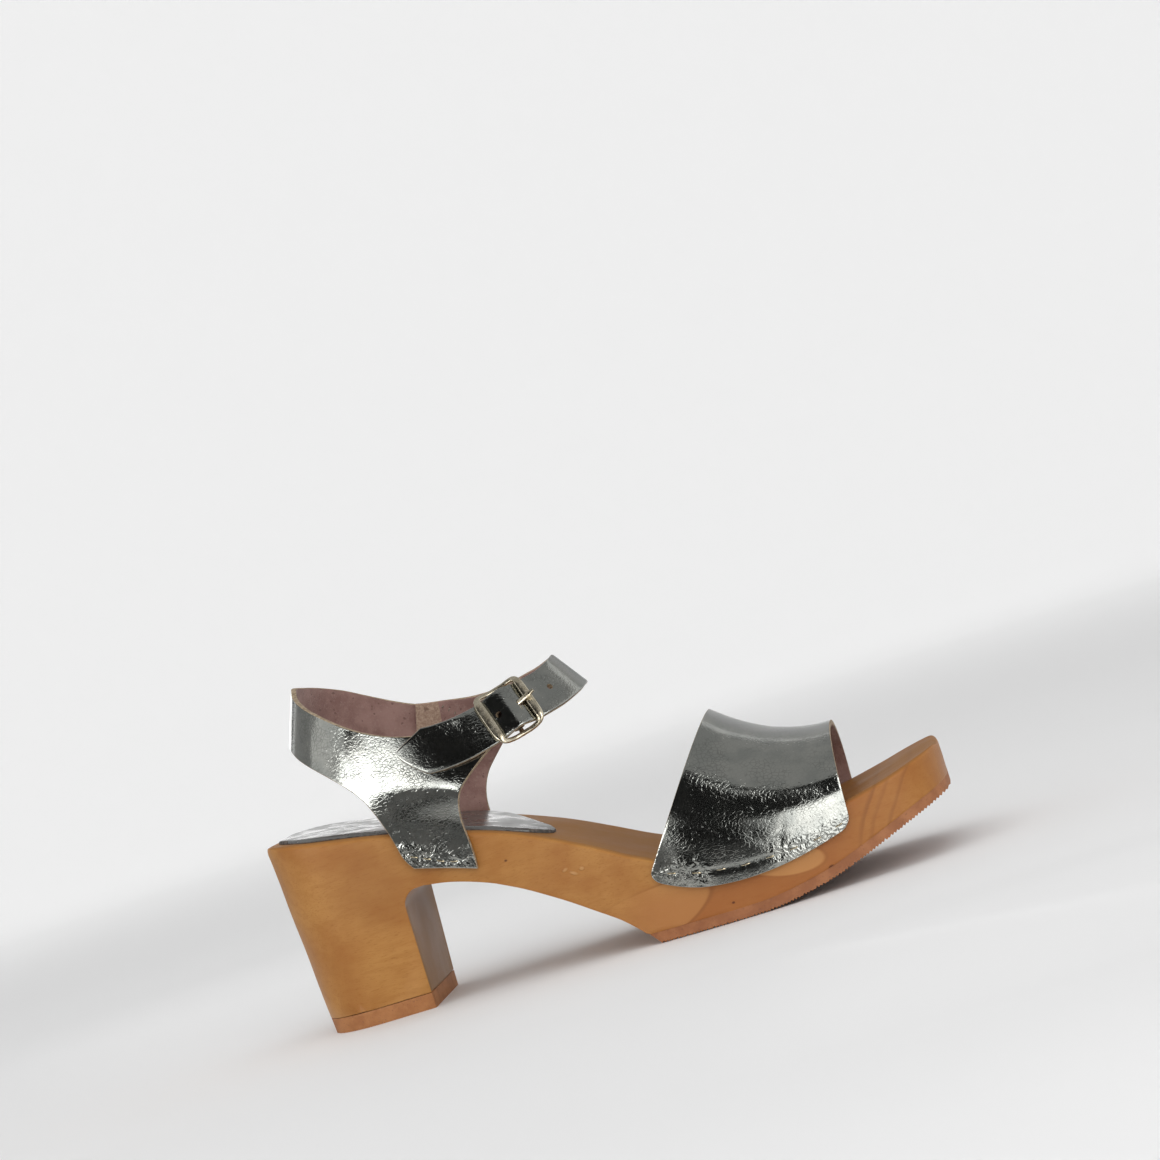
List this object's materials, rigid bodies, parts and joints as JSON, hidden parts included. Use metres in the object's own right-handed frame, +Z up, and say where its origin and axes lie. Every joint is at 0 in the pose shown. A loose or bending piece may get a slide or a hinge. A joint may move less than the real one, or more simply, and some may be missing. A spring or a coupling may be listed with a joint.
{
  "type": "clog sandal",
  "caption": "Right heeled clog sandal: one-piece wood sole with block heel, wide leather toe band, and a heel quarter with a buckled ankle strap.",
  "frame": {"origin": "middle of the heel lift's flat, on the floor", "axes": "+X to the toe, +Y to the inner side of the foot, +Z up"},
  "size_m": [0.2376, 0.0916, 0.1211],
  "materials": {
    "wood": "satin varnish over warm honey-brown wood",
    "sole_rubber": "matte reddish-brown rubber",
    "sock_leather": "soft silver foil, low gloss",
    "foil_leather": "crackled silver foil, mirror-like between the cracks",
    "flesh_leather": "napped brown inner side",
    "buckle_metal": "worn antique plating"
  },
  "bodies": {
    "root": {"wood_sole": "wood", "forefoot_outsole": "sole_rubber", "heel_lift": "sole_rubber", "heel_sock": "sock_leather", "vamp_band": "foil_leather", "heel_quarter": "foil_leather", "ankle_strap": "foil_leather", "buckle_frame": "buckle_metal", "buckle_prong": "buckle_metal"}
  },
  "joints": []
}
